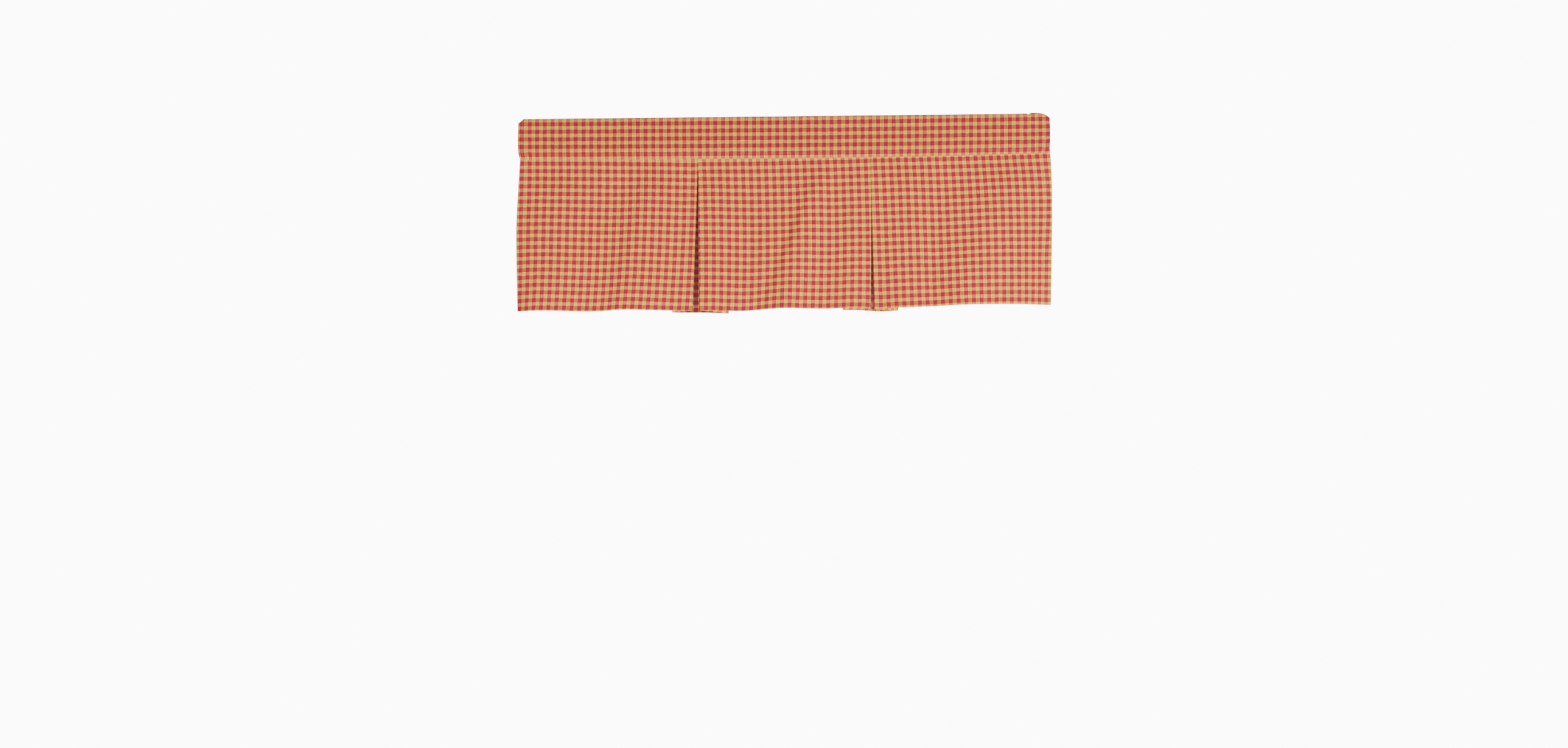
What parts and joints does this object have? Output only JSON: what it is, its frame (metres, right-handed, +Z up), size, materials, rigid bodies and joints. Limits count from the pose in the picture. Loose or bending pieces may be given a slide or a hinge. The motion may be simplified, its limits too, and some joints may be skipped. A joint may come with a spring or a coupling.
{
  "type": "window valance",
  "caption": "Window valance in red and gold checked cotton: a rod-pocket heading band above a skirt with inverted box pleats and turned-up hems.",
  "frame": {"origin": "middle of the top edge of the heading band, where the rod carries it", "axes": "+X along the valance to the viewer's right, -Y out of its face into the room, +Z up"},
  "size_m": [1.2773, 0.0628, 0.464],
  "materials": {
    "heading_cloth": "matt woven check, red and gold",
    "skirt_cloth": "matt woven check, red and gold"
  },
  "bodies": {
    "root": {"heading_band": "heading_cloth", "pleated_skirt": "skirt_cloth"}
  },
  "joints": []
}
